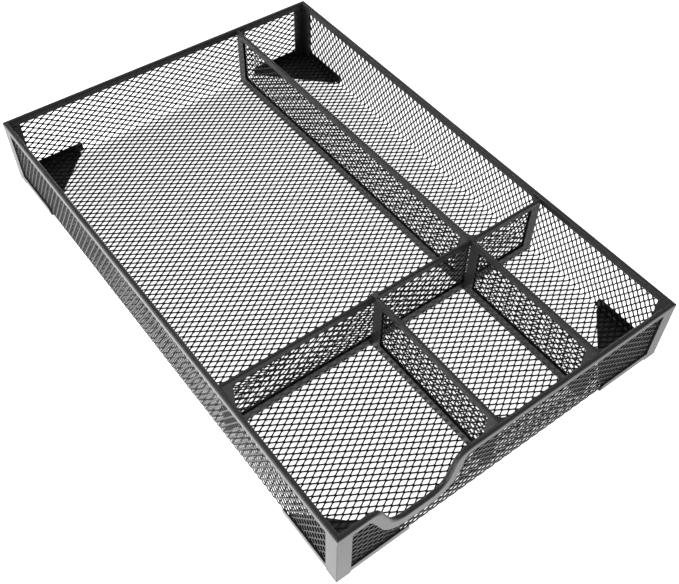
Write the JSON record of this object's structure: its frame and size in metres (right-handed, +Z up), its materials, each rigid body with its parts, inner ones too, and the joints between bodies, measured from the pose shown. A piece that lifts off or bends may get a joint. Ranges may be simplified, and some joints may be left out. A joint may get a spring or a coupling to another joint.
{
  "type": "desk organizer",
  "caption": "Shallow rectangular steel-mesh drawer tray with a scooped front, framed mesh dividers and corner feet.",
  "frame": {"origin": "centre of the footprint, on the surface the tray stands on", "axes": "+X along the short front wall to the right, +Y from the front wall with the scoop to the back wall, +Z up"},
  "size_m": [0.252, 0.382, 0.05],
  "materials": {
    "mesh_coat": "satin black powder coat on expanded steel mesh",
    "frame_coat": "satin black powder coat on folded sheet steel"
  },
  "bodies": {
    "root": {"mesh_basket": "mesh_coat", "rim_front": "frame_coat", "rim_back": "frame_coat", "rim_left": "frame_coat", "rim_right": "frame_coat", "post_front_left": "frame_coat", "post_front_right": "frame_coat", "post_back_left": "frame_coat", "post_back_right": "frame_coat", "strip_front_left": "frame_coat", "strip_front_right": "frame_coat", "strip_back_left": "frame_coat", "strip_back_right": "frame_coat", "foot_front_left": "frame_coat", "foot_front_right": "frame_coat", "foot_back_left": "frame_coat", "foot_back_right": "frame_coat", "cross_divider_mesh": "mesh_coat", "cross_divider_top_rail": "frame_coat", "cross_divider_bottom_rail": "frame_coat", "cross_divider_stile_a": "frame_coat", "cross_divider_stile_b": "frame_coat", "long_divider_mesh": "mesh_coat", "long_divider_top_rail": "frame_coat", "long_divider_bottom_rail": "frame_coat", "long_divider_stile_a": "frame_coat", "long_divider_stile_b": "frame_coat", "right_front_divider_mesh": "mesh_coat", "right_front_divider_top_rail": "frame_coat", "right_front_divider_bottom_rail": "frame_coat", "right_front_divider_stile_a": "frame_coat", "right_front_divider_stile_b": "frame_coat", "left_front_divider_mesh": "mesh_coat", "left_front_divider_top_rail": "frame_coat", "left_front_divider_bottom_rail": "frame_coat", "left_front_divider_stile_a": "frame_coat", "left_front_divider_stile_b": "frame_coat", "divider_gussets": "frame_coat", "divider_hooks": "frame_coat"}
  },
  "joints": []
}
